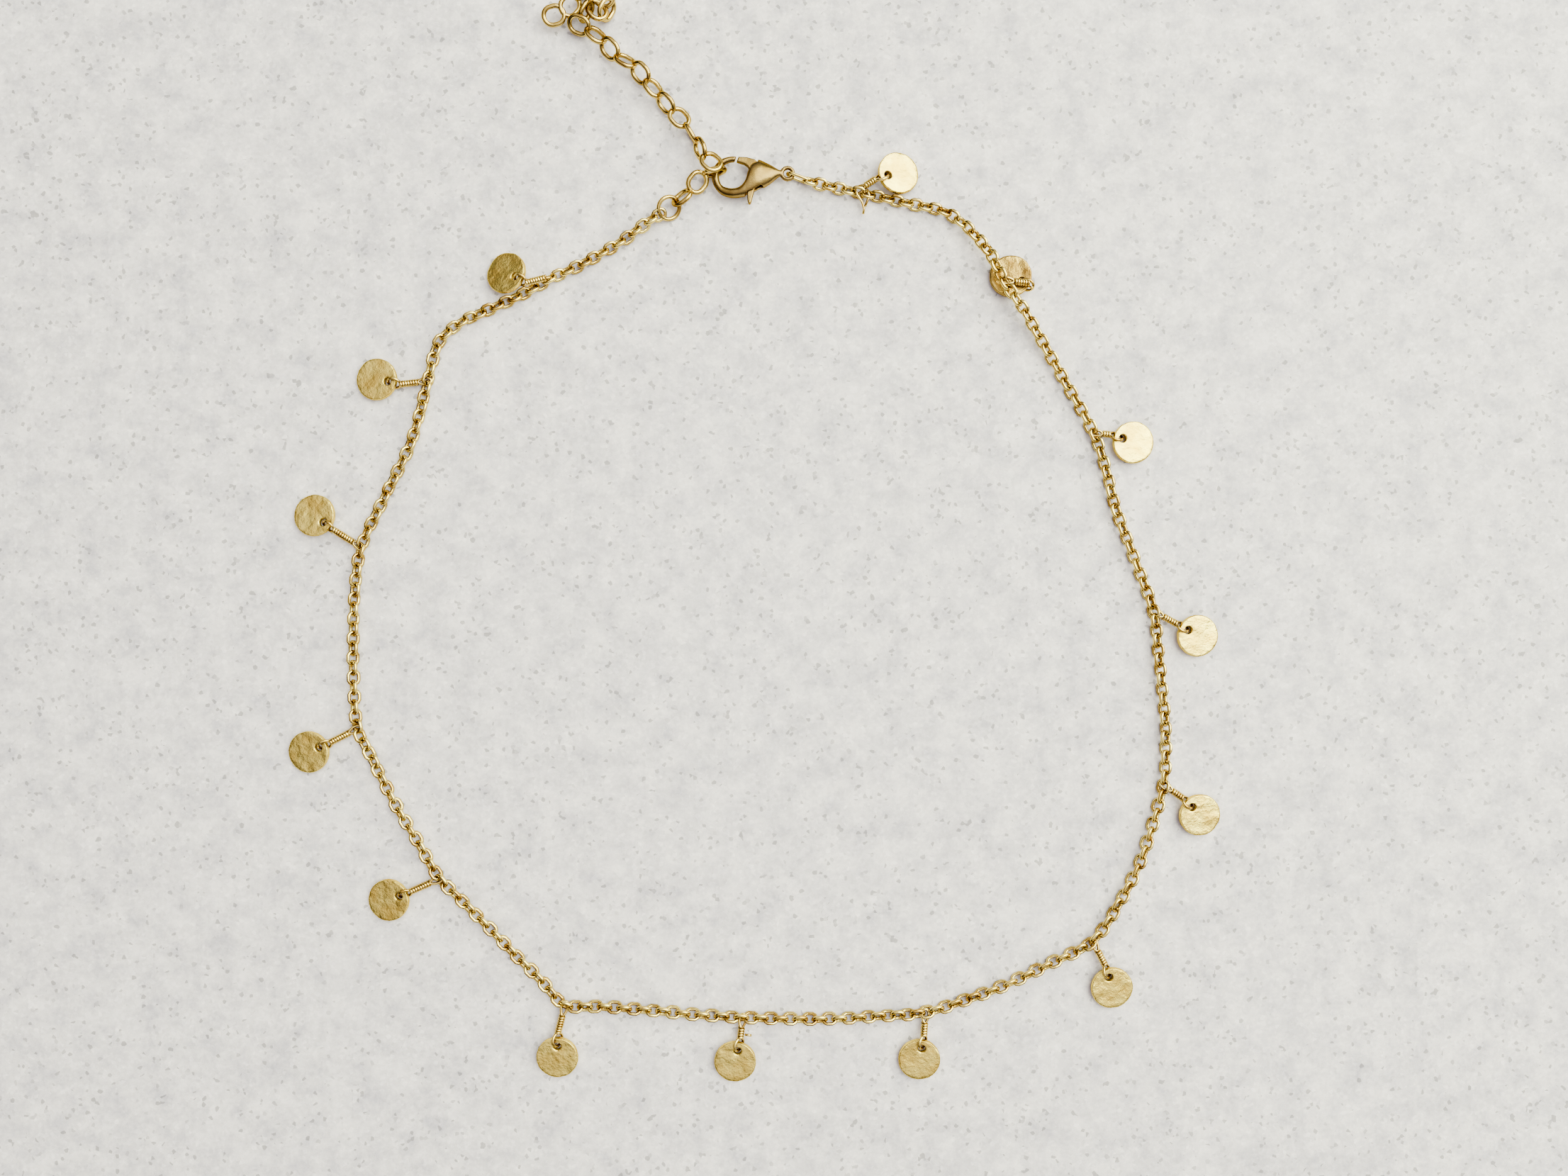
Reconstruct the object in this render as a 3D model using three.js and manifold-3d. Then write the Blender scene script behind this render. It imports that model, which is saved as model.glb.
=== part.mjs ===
// Choker necklace laid on a surface: a fine chain with fourteen small discs, each on a
// wire-wrapped link, a lobster clasp at one end and an extender chain at the other.
// Millimetres, +Z up, the surface at Z = 0, the wearer's throat towards -Y.

import * as THREE from 'three';
import { mergeVertices } from 'three/addons/utils/BufferGeometryUtils.js';
import Module from 'manifold-3d';

const wasm = await Module();
wasm.setup();

// Clearance kept between pieces that touch on the real necklace
const playGap = 0.2;

// Discs
const discDiameter = 6.0;
const discThickness = 0.8;
const discEdgeBevel = 0.2;
const discHoleDiameter = 1.1;
const discHoleEdge = 0.7;
const discSides = 16;

// Wire-wrapped link of each disc
const dropWire = 0.35;
const neckDiameter = 1.05;
const upperLoopWidth = 1.8;
const hookedBeyondChain = 0.45;

// Fine chain, as the tube that holds its links
const chainWidth = 1.5;
const chainMeetingGap = 0.3;

// Ring between the fine chain and the extender chain
const jumpRingDiameter = 3.7;
const jumpRingWire = 0.6;

// Extender chain
const extenderLinkLength = 3.7;
const extenderLinkWidth = 3.2;
const extenderWire = 0.52;
const linkBite = 0.12;
const stretchedBite = 0.36;

// Clasp
const claspLength = 11.8;
const claspWidth = 5.8;
const claspThickness = 2.6;
const eyeletDiameter = 2.2;
const eyeletHole = 1.1;
const eyeletThickness = 0.7;
const leverThickness = 0.9;
const leverEdge = 0.1;
const leverOpening = 22;
const pinDiameter = 0.7;

// Link between the clasp and the fine chain
const claspLinkLength = 3.75;
const claspLinkWidth = 2.2;
const claspLinkWire = 0.45;

// Sides of the round sections
const loopSegments = 10;
const wireSides = 5;
const neckSides = 5;

const tubeRadius = chainWidth / 2;
const coilPitch = dropWire;
const discRadius = discDiameter / 2;
const holeOffset = discRadius - discHoleEdge - discHoleDiameter / 2;
const lowerLoopRadius = (discHoleEdge + discHoleDiameter) / 2;
const upperLoopMean = upperLoopWidth - dropWire;
const hookHalfThickness = 0.23 * claspThickness;
const claspLevel = extenderWire + playGap + hookHalfThickness;

// The fine chain's route over the surface: x, y and how far the chain is lifted.
// The right half runs from the front round to the clasp.
const routeRight = [
  [10.8, -68.1, 0], [17.6, -67.7, 0], [24.2, -67.2, 0], [29.6, -65.5, 0], [34.6, -63.7, 0],
  [41.8, -60.3, 0], [47.8, -57.1, 0], [51.8, -51.3, 0], [54.5, -46.0, 0], [56.4, -40.3, 0],
  [57.8, -35.0, 0], [58.1, -27.8, 0], [57.5, -20.5, 0], [57.0, -15.5, 0], [56.4, -10.5, 0],
  [54.0, -3.9, 0], [51.0, 4.2, 0], [49.6, 9.7, 0], [47.9, 14.7, 0], [43.5, 22.6, 0],
  [38.6, 30.6, 0.9], [36.6, 33.3, 1.7], [34.9, 35.8, 1.75], [33.6, 38.6, 1.6], [32.0, 41.2, 0.9],
  [27.6, 45.5, 0], [20.6, 47.3, 0], [14.3, 48.7, 0], [10.2, 49.5, 0.2],
];

// The left half runs from the front round to the jump ring.
const routeLeft = [
  [4.6, -68.1, 0], [-1.6, -67.9, 0], [-8.4, -67.5, 0], [-14.6, -66.9, 0], [-21.4, -66.4, 0],
  [-26.7, -66.1, 0], [-30.1, -62.7, 0], [-33.9, -58.9, 0], [-37.8, -54.9, 0], [-41.2, -51.5, 0],
  [-44.4, -48.3, 0], [-47.8, -42.6, 0], [-50.2, -38.7, 0], [-52.2, -34.9, 0], [-54.2, -30.9, 0],
  [-56.0, -27.1, 0], [-56.6, -20.3, 0], [-56.6, -12.8, 0], [-56.3, -6.3, 0], [-55.5, -1.5, 0],
  [-51.7, 6.6, 0], [-48.3, 13.8, 0], [-46.1, 22.0, 0], [-44.5, 27.5, 0], [-41.5, 30.2, 0],
  [-38.8, 31.5, 0], [-36.1, 32.7, 0], [-32.6, 34.3, 0], [-29.2, 36.2, 0], [-26.0, 37.7, 0],
  [-22.3, 39.6, 0], [-18.4, 41.9, 0.1], [-15.6, 43.9, 0.35],
];

// Each drop: disc centre x, y, the hole's bearing, the disc's tilt, which half and which
// point of the route it hangs from, the turns of its neck and how its upper loop lies.
const drops = [
  { name: '01', x: -34.9, y: 37.1, bearing: -28, tilt: 20, half: 'left', point: 28, turns: 7, lies: 'over' },
  { name: '02', x: -53.3, y: 22.2, bearing: -12, tilt: 8, half: 'left', point: 22, turns: 5, lies: 'flat' },
  { name: '03', x: -62.1, y: 3.0, bearing: -36, tilt: 8, half: 'left', point: 19, turns: 5, lies: 'flat' },
  { name: '04', x: -62.9, y: -30.4, bearing: 24, tilt: 8, half: 'left', point: 15, turns: 5, lies: 'flat' },
  { name: '05', x: -51.6, y: -51.3, bearing: 22, tilt: 8, half: 'left', point: 10, turns: 5, lies: 'flat' },
  { name: '06', x: -27.8, y: -73.5, bearing: 88, tilt: 8, half: 'left', point: 5, turns: 5, lies: 'flat' },
  { name: '07', x: -2.7, y: -74.1, bearing: 78, tilt: 8, half: 'left', point: 1, turns: 4, lies: 'flat' },
  { name: '08', x: 23.3, y: -73.8, bearing: 80, tilt: 8, half: 'right', point: 2, turns: 5, lies: 'flat' },
  { name: '09', x: 50.5, y: -63.7, bearing: 108, tilt: 8, half: 'right', point: 6, turns: 5, lies: 'flat' },
  { name: '10', x: 62.9, y: -39.3, bearing: 136, tilt: 8, half: 'right', point: 10, turns: 4, lies: 'flat' },
  { name: '11', x: 62.6, y: -14.0, bearing: 151, tilt: 8, half: 'right', point: 14, turns: 5, lies: 'flat' },
  { name: '12', x: 53.5, y: 13.3, bearing: 162, tilt: 8, half: 'right', point: 18, turns: 3, lies: 'flat' },
  { name: '13', x: 36.2, y: 36.8, bearing: -30, tilt: 8, half: 'right', point: 22, turns: 4, lies: 'back' },
  { name: '14', x: 20.3, y: 51.2, bearing: -162, tilt: 16, half: 'right', point: 27, turns: 4, lies: 'flat' },
];

// Where the clasp lies, and the links held in its hook: the held link's place is in shares
// of the clasp's size, and the rider's is measured from the held link
const claspPlace = [0, 50.7];
const heldPlace = [-0.47, 0.1];
const heldLink = { heading: 12, slope: 0, roll: 90 };
const riderAside = [-0.4, 0.95];
const riderLink = { heading: 137, slope: -6, roll: 20 };
const looseLink = { heading: 58, slope: 0, roll: 80 };
const looseReach = 0.8;
const jumpRingLies = { rise: 1.27, heading: 40, roll: 38 };

// Links from the held one back to the jump ring: heading, slope and roll in degrees
const linksToRing = [
  [230, -3, -30], [218, -4, 48],
];

// Links from the rider on, as far as the loose one
const linksToBunch = [
  [118, -22, -62], [121, 0, 86], [132, 0, 20], [134, 0, -58], [126, 0, 42], [133, 0, -44],
  [150, 0, 46], [134, 0, -44], [138, 0, 42], [160, 0, -42],
];

// Links from the loose one to the free end
const linksToEnd = [
  [-50, 0, -20], [60, 0, 60], [150, 0, -20], [200, 0, 62], [228, 0, -28], [195, 0, -20],
];

// Clasp body from its neck round to the hook's tip. Each section runs from the back edge
// to the front edge: x as a share of the clasp's length, y of its width, depth of its
// thickness.
const claspSections = [
  { back: [0.330, 0.000], front: [0.330, 0.138], depth: 0.27 },
  { back: [0.285, -0.030], front: [0.285, 0.170], depth: 0.42 },
  { back: [0.200, -0.175], front: [0.212, 0.260], depth: 0.64 },
  { back: [0.100, -0.300], front: [0.127, 0.345], depth: 0.88 },
  { back: [0.005, -0.400], front: [0.052, 0.405], depth: 1.00 },
  { back: [-0.070, -0.460], front: [-0.028, 0.340], depth: 0.98 },
  { back: [-0.110, -0.485], front: [-0.068, 0.160], depth: 0.88 },
  { back: [-0.160, -0.505], front: [-0.100, -0.080], depth: 0.78 },
  { back: [-0.210, -0.517], front: [-0.170, -0.245], depth: 0.66 },
  { back: [-0.275, -0.517], front: [-0.255, -0.293], depth: 0.58 },
  { back: [-0.350, -0.483], front: [-0.322, -0.276], depth: 0.50 },
  { back: [-0.420, -0.400], front: [-0.376, -0.230], depth: 0.47 },
  { back: [-0.483, -0.225], front: [-0.406, -0.140], depth: 0.46 },
  { back: [-0.508, -0.035], front: [-0.419, -0.017], depth: 0.46 },
  { back: [-0.504, 0.120], front: [-0.414, 0.088], depth: 0.46 },
  { back: [-0.462, 0.285], front: [-0.383, 0.210], depth: 0.46 },
  { back: [-0.390, 0.415], front: [-0.338, 0.292], depth: 0.45 },
  { back: [-0.300, 0.474], front: [-0.280, 0.336], depth: 0.42 },
  { back: [-0.212, 0.478], front: [-0.238, 0.345], depth: 0.38 },
];
const claspSides = 12;
const eyeletCentre = [0.398, 0.069];

// Lever outline round its pivot, from the gate's tip round by the thumb tab: shares of
// the clasp's length and width
const leverPivot = [0.017, 0.138];
const leverOutline = [
  [-0.186, 0.462], [-0.085, 0.450], [0.005, 0.400], [0.070, 0.280], [0.103, 0.138],
  [0.080, 0.000], [0.015, -0.250], [-0.010, -0.440], [-0.030, -0.600], [-0.045, -0.672],
  [-0.067, -0.672], [-0.080, -0.600], [-0.085, -0.440], [-0.062, -0.150], [-0.050, 0.100],
  [-0.078, 0.225], [-0.120, 0.290], [-0.211, 0.342],
];

const up = new THREE.Vector3(0, 0, 1);
const degrees = THREE.MathUtils.degToRad;

function toSolid(geometry) {
  const bare = geometry.clone();
  bare.deleteAttribute('normal');
  bare.deleteAttribute('uv');
  const merged = mergeVertices(bare, 1e-5);
  return new wasm.Manifold(new wasm.Mesh({
    numProp: 3,
    vertProperties: new Float32Array(merged.attributes.position.array),
    triVerts: new Uint32Array(merged.index.array),
  }));
}

function toGeometry(solid) {
  const mesh = solid.getMesh();
  const geometry = new THREE.BufferGeometry();
  geometry.setAttribute('position', new THREE.BufferAttribute(mesh.vertProperties, 3));
  geometry.setIndex(new THREE.BufferAttribute(mesh.triVerts, 1));
  return geometry;
}

function joined(solids) {
  return solids.slice(1).reduce((whole, piece) => whole.add(piece), solids[0]);
}

function heading(angle, slope = 0) {
  const flat = Math.cos(degrees(slope));
  const x = flat * Math.cos(degrees(angle));
  const y = flat * Math.sin(degrees(angle));
  return new THREE.Vector3(x, y, Math.sin(degrees(slope)));
}

// A frame whose X runs along a direction and whose Y is level, then rolled about X
function alongFrame(origin, direction, roll = 0) {
  const along = direction.clone().normalize();
  const side = new THREE.Vector3().crossVectors(up, along).normalize();
  side.applyAxisAngle(along, degrees(roll));
  const face = new THREE.Vector3().crossVectors(along, side);
  return new THREE.Matrix4().makeBasis(along, side, face).setPosition(origin);
}

// A round or oval link lying in its own XY plane, long along X; sizes are to the middle
// of the wire. Its segments leave the middle of the long sides free, so they stay straight.
function linkGeometry(length, width, wire, sides, segments = loopSegments) {
  const geometry = new THREE.TorusGeometry(width / 2, wire / 2, sides, segments);
  const position = geometry.attributes.position;
  const stretch = (length - width) / 2;
  for (let i = 0; i < position.count; i += 1) {
    position.setX(i, position.getX(i) + Math.sign(position.getX(i)) * stretch);
  }
  return geometry;
}

function material(color, roughness) {
  return new THREE.MeshStandardMaterial({ color, roughness, metalness: 1 });
}

// Route of one half of the chain; each named point is a step of its tube, and the
// tube's flat side stays below all the way
class ChainRoute extends THREE.CatmullRomCurve3 {
  getPointAt(t, target) {
    return this.getPoint(t, target);
  }

  getTangentAt(t, target) {
    return this.getTangent(t, target);
  }

  computeFrenetFrames(steps) {
    const frames = { tangents: [], normals: [], binormals: [] };
    for (let i = 0; i <= steps; i += 1) {
      const tangent = this.getTangent(i / steps);
      const side = new THREE.Vector3().crossVectors(up, tangent).normalize();
      frames.tangents.push(tangent);
      frames.normals.push(new THREE.Vector3().crossVectors(tangent, side));
      frames.binormals.push(side.negate());
    }
    return frames;
  }
}

function routeCurve(rows) {
  const points = rows.map(([x, y, lift]) => new THREE.Vector3(x, y, tubeRadius + lift));
  return new ChainRoute(points, false, 'centripetal');
}

// Octagon section with a flat below
function chainSection() {
  const corner = tubeRadius / Math.cos(Math.PI / 8);
  const points = [];
  for (let i = 0; i < 8; i += 1) {
    const angle = Math.PI / 8 + i * Math.PI / 4;
    points.push(new THREE.Vector2(corner * Math.cos(angle), corner * Math.sin(angle)));
  }
  return new THREE.Shape(points);
}

function chainTube(curve, steps) {
  const settings = { steps, extrudePath: curve, bevelEnabled: false };
  return new THREE.ExtrudeGeometry(chainSection(), settings);
}

// Height of a tilted disc's centre when its low edge rests on the surface
function discRise(tilt) {
  const sine = Math.sin(degrees(tilt));
  const cosine = Math.cos(degrees(tilt));
  const face = (discRadius - discEdgeBevel) * sine + discThickness / 2 * cosine;
  const edge = discRadius * sine + (discThickness / 2 - discEdgeBevel) * cosine;
  return Math.max(face, edge);
}

function discGeometry() {
  const half = discThickness / 2;
  const profile = [
    new THREE.Vector2(0, -half),
    new THREE.Vector2(discRadius - discEdgeBevel, -half),
    new THREE.Vector2(discRadius, -half + discEdgeBevel),
    new THREE.Vector2(discRadius, half - discEdgeBevel),
    new THREE.Vector2(discRadius - discEdgeBevel, half),
    new THREE.Vector2(0, half),
  ];
  const blank = toSolid(new THREE.LatheGeometry(profile, discSides).rotateX(Math.PI / 2));
  const radius = discHoleDiameter / 2;
  const drill = new THREE.CylinderGeometry(radius, radius, 2 * discThickness, loopSegments);
  drill.rotateX(Math.PI / 2).translate(holeOffset, 0, 0);
  return toGeometry(blank.subtract(toSolid(drill)));
}

// Coiled neck along X from the origin
function neckGeometry(turns) {
  const outer = neckDiameter / 2;
  const groove = outer - 0.35 * dropWire;
  const profile = [new THREE.Vector2(0, 0)];
  for (let i = 0; i < turns; i += 1) {
    profile.push(new THREE.Vector2(groove, i * coilPitch));
    profile.push(new THREE.Vector2(outer, (i + 0.5) * coilPitch));
  }
  profile.push(new THREE.Vector2(groove, turns * coilPitch));
  profile.push(new THREE.Vector2(0, turns * coilPitch));
  return new THREE.LatheGeometry(profile, neckSides).rotateZ(-Math.PI / 2);
}

// The lower loop stands upright through the disc's hole and round its rim
function lowerLoop(rimPoint, bearing) {
  const geometry = linkGeometry(2 * lowerLoopRadius, 2 * lowerLoopRadius, dropWire, wireSides);
  return toSolid(geometry.applyMatrix4(alongFrame(rimPoint, bearing, 90)));
}

// The upper loop and the room that it needs in the chain
function upperLoop(wire, start, direction, length, roll) {
  const centre = start.clone().addScaledVector(direction, length / 2);
  const geometry = linkGeometry(length, upperLoopMean, wire, wireSides);
  return toSolid(geometry.applyMatrix4(alongFrame(centre, direction, roll)));
}

function hangFlat(neckStart, chainPoint, turns) {
  const direction = chainPoint.clone().sub(neckStart).normalize();
  const neckLength = turns * coilPitch;
  const loopStart = neckStart.clone().addScaledVector(direction, neckLength);
  const length = chainPoint.distanceTo(loopStart) + hookedBeyondChain;
  const loop = (wire) => upperLoop(wire, loopStart, direction, length, 0);
  return { direction, turns, loop };
}

// The neck lies over the chain and its loop hangs down into it
function hangOver(neckStart, chainPoint, turns) {
  const above = tubeRadius + neckDiameter / 2 + playGap;
  const neckEnd = chainPoint.clone().addScaledVector(up, above);
  const direction = neckEnd.clone().sub(neckStart).normalize();
  const level = new THREE.Vector3(direction.x, direction.y, 0).normalize();
  const deep = chainPoint.z - tubeRadius + dropWire + playGap + upperLoopMean / 2;
  const loopStart = chainPoint.clone().setZ(deep).addScaledVector(level, -upperLoopMean / 2);
  const loop = (wire) => upperLoop(wire, loopStart, level, upperLoopMean, 90);
  const turnsToChain = Math.round(neckStart.distanceTo(neckEnd) / coilPitch);
  return { direction, turns: Math.max(turns, turnsToChain), loop };
}

function buildDrop(row, routes) {
  const bearing = heading(row.bearing);
  const tilted = heading(row.bearing, row.tilt);
  const centre = new THREE.Vector3(row.x, row.y, discRise(row.tilt));
  const rimPoint = centre.clone().addScaledVector(tilted, holeOffset + lowerLoopRadius);
  const chainPoint = routes[row.half][row.point];
  const neckStart = rimPoint.clone();
  if (row.lies === 'back') {
    neckStart.addScaledVector(up, lowerLoopRadius + dropWire / 2);
  } else {
    neckStart.addScaledVector(bearing, lowerLoopRadius);
  }
  const hang = row.lies === 'over' ? hangOver : hangFlat;
  const { direction, turns, loop } = hang(neckStart, chainPoint, row.turns);
  const neck = neckGeometry(turns).applyMatrix4(alongFrame(neckStart, direction));
  const solid = joined([lowerLoop(rimPoint, bearing), toSolid(neck), loop(dropWire)]);
  const room = loop(dropWire + 2 * playGap);
  return { centre, solid, room };
}

function extenderLink(pose) {
  const length = extenderLinkLength - extenderWire;
  const width = extenderLinkWidth - extenderWire;
  const geometry = linkGeometry(length, width, extenderWire, wireSides);
  return toSolid(geometry.applyMatrix4(alongFrame(pose.centre, pose.along, pose.roll)));
}

// Links pulled tight one after the other: each starts where the last one ends, less a
// wire, so that the wires just bite into each other
function pulledTight(first, rows, bite = linkBite) {
  const half = (extenderLinkLength - extenderWire) / 2;
  const poses = [];
  let last = first;
  for (const [angle, slope, roll] of rows) {
    const along = heading(angle, slope);
    const end = last.centre.clone().addScaledVector(last.along, half);
    const middle = last.along.clone().add(along).normalize();
    const start = end.addScaledVector(middle, bite - extenderWire);
    last = { centre: start.addScaledVector(along, half), along, roll };
    poses.push(last);
  }
  return poses;
}

function onClasp([shareX, shareY], level = claspLevel) {
  const x = claspPlace[0] + shareX * claspLength;
  const y = claspPlace[1] + shareY * claspWidth;
  return new THREE.Vector3(x, y, level);
}

function linkPose(centre, { heading: angle, slope, roll }) {
  return { centre, along: heading(angle, slope), roll };
}

// The held link stands on edge on the surface
function heldPose() {
  return linkPose(onClasp(heldPlace, extenderLinkWidth / 2), heldLink);
}

// The rider hangs on the held link's upper wire
function riderPose() {
  const rise = extenderLinkWidth - extenderWire / 2 - linkBite;
  const centre = onClasp(heldPlace, rise);
  centre.add(new THREE.Vector3(riderAside[0], riderAside[1], 0));
  return linkPose(centre, riderLink);
}

// The loose link stands on edge, round the long side of the last link of its row
function loosePose(last) {
  const frame = alongFrame(last.centre, last.along, last.roll);
  const beside = new THREE.Vector3().setFromMatrixColumn(frame, 1).negate();
  const reach = looseReach * (extenderLinkLength - extenderWire) / 2;
  const centre = last.centre.clone()
    .addScaledVector(beside, (extenderLinkWidth - extenderWire) / 2)
    .addScaledVector(heading(looseLink.heading), reach)
    .setZ(extenderLinkWidth / 2);
  return linkPose(centre, looseLink);
}

function posesToRing() {
  const held = heldPose();
  const backwards = { centre: held.centre, along: held.along.clone().negate() };
  return pulledTight(backwards, linksToRing, stretchedBite);
}

function extenderPoses() {
  const rider = riderPose();
  const toBunch = [rider, ...pulledTight(rider, linksToBunch)];
  const loose = loosePose(toBunch.at(-1));
  return [heldPose(), ...posesToRing(), ...toBunch, loose, ...pulledTight(loose, linksToEnd)];
}

// The jump ring passes through the last link that is pulled back to it
function ringCentre() {
  const last = posesToRing().at(-1);
  const inLink = (jumpRingWire + extenderWire) / 2 + playGap;
  const toCentre = (extenderLinkLength - extenderWire) / 2
    + (jumpRingDiameter - jumpRingWire) / 2 - inLink;
  return last.centre.clone().addScaledVector(last.along, toCentre).setZ(jumpRingLies.rise);
}

function ringSolid(wire) {
  const mean = jumpRingDiameter - jumpRingWire;
  const geometry = linkGeometry(mean, mean, wire, wireSides, loopSegments + 4);
  const { heading: angle, roll } = jumpRingLies;
  return toSolid(geometry.applyMatrix4(alongFrame(ringCentre(), heading(angle), roll)));
}

// A cylinder's rings are moved onto the sections, so both ends stay closed
function claspLoft() {
  const count = claspSections.length;
  const geometry = new THREE.CylinderGeometry(1, 1, count - 1, claspSides, count - 1);
  const position = geometry.attributes.position;
  for (let i = 0; i < position.count; i += 1) {
    const row = Math.round((count - 1) / 2 - position.getY(i));
    const { back, front, depth } = claspSections[row];
    const middle = onClasp(back).add(onClasp(front)).multiplyScalar(0.5);
    const span = onClasp(back).sub(onClasp(front)).multiplyScalar(0.5);
    middle.addScaledVector(span, position.getX(i));
    middle.addScaledVector(up, position.getZ(i) * depth * claspThickness / 2);
    position.setXYZ(i, middle.x, middle.y, middle.z);
  }
  return geometry;
}

function eyeletGeometry() {
  const outer = eyeletDiameter / 2;
  const inner = eyeletHole / 2;
  const half = eyeletThickness / 2;
  const bevel = half / 2;
  const profile = [
    [inner, -half + bevel], [inner + bevel, -half], [outer - bevel, -half],
    [outer, -half + bevel], [outer, half - bevel], [outer - bevel, half],
    [inner + bevel, half], [inner, half - bevel], [inner, -half + bevel],
  ].map(([x, y]) => new THREE.Vector2(x, y));
  const centre = onClasp(eyeletCentre);
  const geometry = new THREE.LatheGeometry(profile, 12).rotateX(Math.PI / 2);
  return geometry.translate(centre.x, centre.y, centre.z);
}

// The lever's plate about its pivot; a bevel rounds its edges within the outline
// and a spread widens it on every side
function leverPlate(bevel, spread) {
  const pivot = onClasp(leverPivot, 0);
  const points = leverOutline.map((share) => onClasp(share, 0).sub(pivot));
  const shape = new THREE.Shape(points.map(({ x, y }) => new THREE.Vector2(x, y)));
  const depth = leverThickness - 2 * bevel;
  const settings = {
    depth,
    bevelThickness: bevel + spread,
    bevelSize: bevel + spread,
    bevelOffset: -bevel,
    bevelSegments: 1,
  };
  return new THREE.ExtrudeGeometry(shape, settings).translate(0, 0, -depth / 2);
}

function leverGeometry() {
  const radius = pinDiameter / 2 + playGap;
  const bore = new THREE.CylinderGeometry(radius, radius, 2 * leverThickness, loopSegments);
  bore.rotateX(Math.PI / 2);
  return toGeometry(toSolid(leverPlate(leverEdge, 0)).subtract(toSolid(bore)));
}

function leverRoom() {
  const pivot = onClasp(leverPivot);
  const plate = leverPlate(0, playGap);
  const steps = 3;
  const turned = [];
  for (let i = 0; i <= steps; i += 1) {
    const angle = degrees(leverOpening * i / steps);
    turned.push(toSolid(plate.clone().rotateZ(angle).translate(pivot.x, pivot.y, pivot.z)));
  }
  return joined(turned);
}

function pivotPin() {
  const pivot = onClasp(leverPivot);
  const radius = pinDiameter / 2;
  const length = 0.8 * claspThickness;
  const geometry = new THREE.CylinderGeometry(radius, radius, length, loopSegments);
  return geometry.rotateX(Math.PI / 2).translate(pivot.x, pivot.y, pivot.z);
}

function claspBody() {
  const eyelet = toSolid(eyeletGeometry());
  const body = toSolid(claspLoft()).add(eyelet).subtract(leverRoom());
  return body.add(toSolid(pivotPin()));
}

function claspLinkSolid(wire) {
  const length = claspLinkLength - claspLinkWire;
  const width = claspLinkWidth - claspLinkWire;
  const direction = heading(-20, -4);
  const centre = onClasp(eyeletCentre).addScaledVector(direction, length / 2);
  const geometry = linkGeometry(length, width, wire, wireSides);
  return toSolid(geometry.applyMatrix4(alongFrame(centre, direction, 90)));
}

const necklace = new THREE.Group();

function addPiece(name, geometry, finish) {
  const mesh = new THREE.Mesh(geometry, finish);
  mesh.name = name;
  necklace.add(mesh);
  return mesh;
}

// The chain's ends pass a little beyond the wires that they hold
const endBeyondWire = 0.85;
const claspLinkHeading = heading(-20, -4);
const claspLinkFarEnd = onClasp(eyeletCentre)
  .addScaledVector(claspLinkHeading, claspLinkLength - claspLinkWire - endBeyondWire);
const ringReach = (jumpRingDiameter - jumpRingWire) / 2 - endBeyondWire;
const ringNearEnd = ringCentre().addScaledVector(heading(216), ringReach);

const halfEnd = (end) => [end.x, end.y, end.z - tubeRadius];
const leftStart = [routeRight[0][0] - chainMeetingGap, routeRight[0][1], 0];
const leftRows = [leftStart, ...routeLeft, halfEnd(ringNearEnd)];
const rightRows = [...routeRight, halfEnd(claspLinkFarEnd)];
const routes = {
  left: routeCurve(leftRows).points.slice(1),
  right: routeCurve(rightRows).points,
};
const halves = {
  left: toSolid(chainTube(routeCurve(leftRows), leftRows.length - 1)),
  right: toSolid(chainTube(routeCurve(rightRows), rightRows.length - 1)),
};

for (const row of drops) {
  const { centre, solid, room } = buildDrop(row, routes);
  halves[row.half] = halves[row.half].subtract(room);
  const disc = addPiece(`disc_${row.name}`, discGeometry(), material(0xd8b368, 0.35));
  disc.rotation.set(0, -degrees(row.tilt), degrees(row.bearing), 'ZYX');
  disc.position.copy(centre);
  addPiece(`drop_link_${row.name}`, toGeometry(solid), material(0xcda24e, 0.3));
}

halves.left = halves.left.subtract(ringSolid(jumpRingWire + 2 * playGap));
halves.right = halves.right.subtract(claspLinkSolid(claspLinkWire + 2 * playGap));
addPiece('chain_left', toGeometry(halves.left), material(0xd0a655, 0.3));
addPiece('chain_right', toGeometry(halves.right), material(0xd0a655, 0.3));
addPiece('jump_ring', toGeometry(ringSolid(jumpRingWire)), material(0xd0a655, 0.25));
const extender = joined(extenderPoses().map(extenderLink));
addPiece('extender_chain', toGeometry(extender), material(0xd8ae58, 0.25));
addPiece('clasp_link', toGeometry(claspLinkSolid(claspLinkWire)), material(0xd0a655, 0.25));
addPiece('clasp_body', toGeometry(claspBody()), material(0xc9a65f, 0.4));
const lever = addPiece('clasp_lever', leverGeometry(), material(0xc9a65f, 0.4));
lever.position.copy(onClasp(leverPivot));

// Origin at the middle of the whole necklace's outline, on the surface
necklace.updateMatrixWorld(true);
const bounds = new THREE.Box3().setFromObject(necklace, true);
const middle = bounds.getCenter(new THREE.Vector3());
necklace.position.set(-middle.x, -middle.y, -bounds.min.z);

export default necklace;
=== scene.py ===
import math
import random

import bmesh
import bpy
from mathutils import Matrix, Vector, noise
from mathutils.bvhtree import BVHTree


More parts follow.
